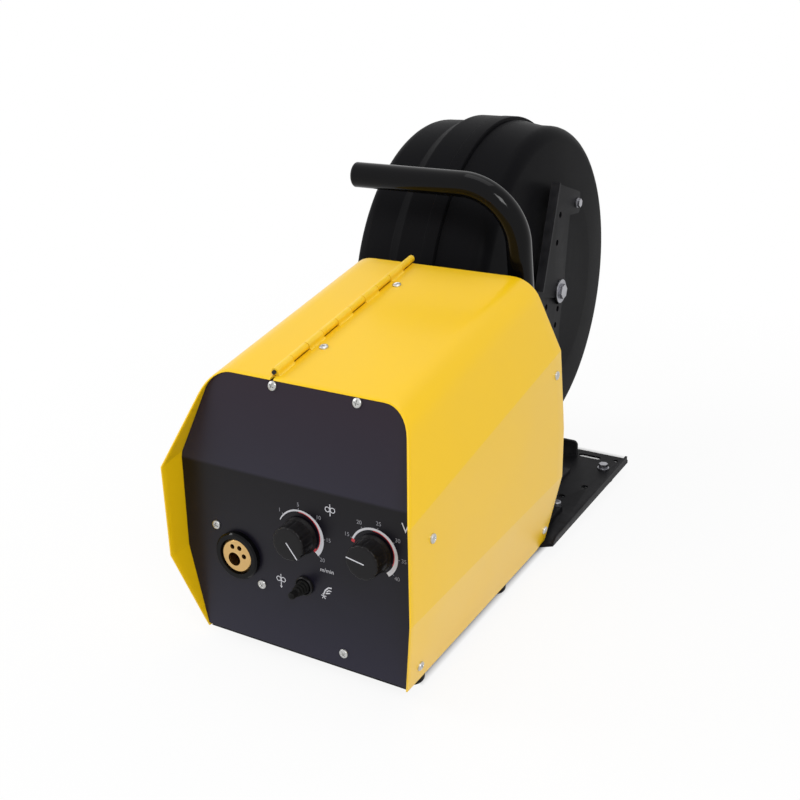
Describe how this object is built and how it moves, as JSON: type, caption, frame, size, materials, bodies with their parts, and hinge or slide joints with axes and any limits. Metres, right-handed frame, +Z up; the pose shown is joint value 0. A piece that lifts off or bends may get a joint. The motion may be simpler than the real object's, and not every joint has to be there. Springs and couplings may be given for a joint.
{
  "type": "welding wire feeder",
  "caption": "Portable welding wire feeder: folded sheet case with dials, gun socket and geared roll drive, tray with handle and a closed round spool cover",
  "frame": {"origin": "centre of the bounding box on the plane of the feet", "axes": "+Z up, -Y towards the operator out of the front panel, +X to the right seen from the front"},
  "size_m": [0.2544, 0.688, 0.429],
  "materials": {
    "yellow_paint": "semi-gloss powder coat",
    "black_panel": "satin film over sheet",
    "black_paint": "satin powder coat",
    "black_gloss": "gloss paint",
    "zinc": "zinc plated",
    "black_plastic": "fine grain",
    "rubber": "dull",
    "brass": "turned",
    "steel": "machined",
    "aluminium": "cast and machined",
    "board_green": "coated board"
  },
  "bodies": {
    "stand": {"base_tray": "black_paint", "rubber_feet": "rubber", "tray_bolts": "zinc", "relief_lug": "black_paint", "fixed_hood": "yellow_paint", "front_panel": "black_panel", "rear_panel": "black_panel", "bulkhead": "zinc", "panel_rail": "zinc", "panel_screws": "zinc", "hood_screws": "zinc", "hinge_screws": "zinc", "hinge_fixed_leaf": "yellow_paint", "hinge_pin": "zinc", "socket_collar": "black_plastic", "socket_insert": "brass", "socket_screws": "zinc", "knob_pots": "black_plastic", "toggle_switch": "black_plastic", "drive_insulator": "black_plastic", "drive_plate": "aluminium", "drive_motor": "aluminium", "gearbox": "aluminium", "wire_guides": "brass", "gas_valve": "brass", "control_board": "board_green", "gas_inlet": "brass", "control_socket": "black_plastic", "power_stud": "brass", "wire_inlet": "black_plastic", "lower_upright": "black_paint", "upper_arm": "black_paint", "arm_bolts": "zinc", "handle_tube": "black_gloss", "handle_cap": "black_plastic", "handle_clamp": "black_paint", "handle_foot": "black_paint", "spool_axle": "zinc", "axle_spacer": "zinc", "cover_right_shell": "black_plastic", "cover_hinge_pin": "zinc"},
    "door": {"drive_door": "yellow_paint", "hinge_door_leaf": "yellow_paint"},
    "latch": {"door_latch": "zinc"},
    "speed_dial": {"speed_knob": "black_plastic"},
    "voltage_dial": {"voltage_knob": "black_plastic"},
    "trigger_switch": {"toggle_lever": "rubber"},
    "main_gear": {"drive_gear": "steel"},
    "lower_front": {"lower_roll_front": "steel"},
    "lower_rear": {"lower_roll_rear": "steel"},
    "upper_front": {"upper_roll_front": "steel"},
    "upper_rear": {"upper_roll_rear": "steel"},
    "arm_front": {"pressure_arm_front": "aluminium"},
    "arm_rear": {"pressure_arm_rear": "aluminium"},
    "lever": {"tension_lever": "steel"},
    "lever_grip": {"tension_knob": "black_plastic"},
    "hub": {"brake_hub": "black_plastic"},
    "hub_lock": {"hub_cap": "black_plastic"},
    "cover_half": {"cover_left_shell": "black_plastic"},
    "cover_catch": {"cover_clip": "black_plastic"}
  },
  "joints": [
    {"name": "door_swing", "type": "hinge", "parent": "stand", "child": "door", "pos_m": [-0.0352, -0.2905, 0.27295], "axis": [0, 0.9848, 0.1736], "range_deg": [0, 75]},
    {"name": "latch_turn", "type": "hinge", "parent": "door", "child": "latch", "pos_m": [-0.11878, -0.174, 0.058], "axis": [-0.9771, 0, -0.2127], "range_deg": [0, 90]},
    {"name": "speed_turn", "type": "hinge", "parent": "stand", "child": "speed_dial", "pos_m": [0.0023, -0.31843, 0.1386], "axis": [0, -0.9997, 0.0242], "range_deg": [0, 190]},
    {"name": "voltage_turn", "type": "hinge", "parent": "stand", "child": "voltage_dial", "pos_m": [0.0761, -0.31838, 0.1404], "axis": [0, -0.9997, 0.0242], "range_deg": [-210, 0]},
    {"name": "trigger_rock", "type": "hinge", "parent": "stand", "child": "trigger_switch", "pos_m": [0.0048, -0.3196, 0.09], "axis": [1, 0, 0], "range_deg": [-12, 12]},
    {"name": "drive_turn", "type": "hinge", "parent": "stand", "child": "main_gear", "pos_m": [-0.0752, -0.184, 0.0705], "axis": [1, 0, 0], "continuous": true},
    {"name": "lower_front_turn", "type": "hinge", "parent": "stand", "child": "lower_front", "pos_m": [-0.0752, -0.212, 0.087], "axis": [1, 0, 0], "continuous": true},
    {"name": "lower_rear_turn", "type": "hinge", "parent": "stand", "child": "lower_rear", "pos_m": [-0.0752, -0.156, 0.087], "axis": [1, 0, 0], "continuous": true},
    {"name": "arm_front_lift", "type": "hinge", "parent": "stand", "child": "arm_front", "pos_m": [-0.0792, -0.238, 0.108], "axis": [1, 0, 0], "range_deg": [0, 6]},
    {"name": "arm_rear_lift", "type": "hinge", "parent": "stand", "child": "arm_rear", "pos_m": [-0.0792, -0.13, 0.108], "axis": [-1, 0, 0], "range_deg": [0, 6]},
    {"name": "upper_front_turn", "type": "hinge", "parent": "arm_front", "child": "upper_front", "pos_m": [-0.0752, -0.212, 0.117], "axis": [1, 0, 0], "continuous": true},
    {"name": "upper_rear_turn", "type": "hinge", "parent": "arm_rear", "child": "upper_rear", "pos_m": [-0.0752, -0.156, 0.117], "axis": [1, 0, 0], "continuous": true},
    {"name": "lever_swing", "type": "hinge", "parent": "stand", "child": "lever", "pos_m": [-0.0752, -0.184, 0.11], "axis": [0, -1, 0], "range_deg": [0, 60]},
    {"name": "tension_turn", "type": "hinge", "parent": "lever", "child": "lever_grip", "pos_m": [-0.0752, -0.184, 0.11], "axis": [0.4755, 0, 0.8797], "continuous": true},
    {"name": "hub_turn", "type": "hinge", "parent": "stand", "child": "hub", "pos_m": [-0.0512, 0.146, 0.239], "axis": [1, 0, 0], "continuous": true},
    {"name": "hub_lock_turn", "type": "hinge", "parent": "hub", "child": "hub_lock", "pos_m": [-0.0962, 0.146, 0.239], "axis": [1, 0, 0], "range_deg": [0, 90]},
    {"name": "cover_swing", "type": "hinge", "parent": "stand", "child": "cover_half", "pos_m": [-0.0222, 0.3406, 0.239], "axis": [0, 0, -1], "range_deg": [0, 110]},
    {"name": "cover_catch_turn", "type": "hinge", "parent": "cover_half", "child": "cover_catch", "pos_m": [-0.0312, 0.146, 0.0455], "axis": [0, 1, 0], "range_deg": [0, 90]}
  ],
  "couplings": [
    {"joint": "lower_front_turn", "follows": "drive_turn", "ratio": -1.1667},
    {"joint": "lower_rear_turn", "follows": "drive_turn", "ratio": -1.1667},
    {"joint": "upper_front_turn", "follows": "drive_turn", "ratio": 1.1667},
    {"joint": "upper_rear_turn", "follows": "drive_turn", "ratio": 1.1667},
    {"joint": "arm_front_lift", "follows": "lever_swing", "ratio": 0.1},
    {"joint": "arm_rear_lift", "follows": "lever_swing", "ratio": 0.1}
  ]
}
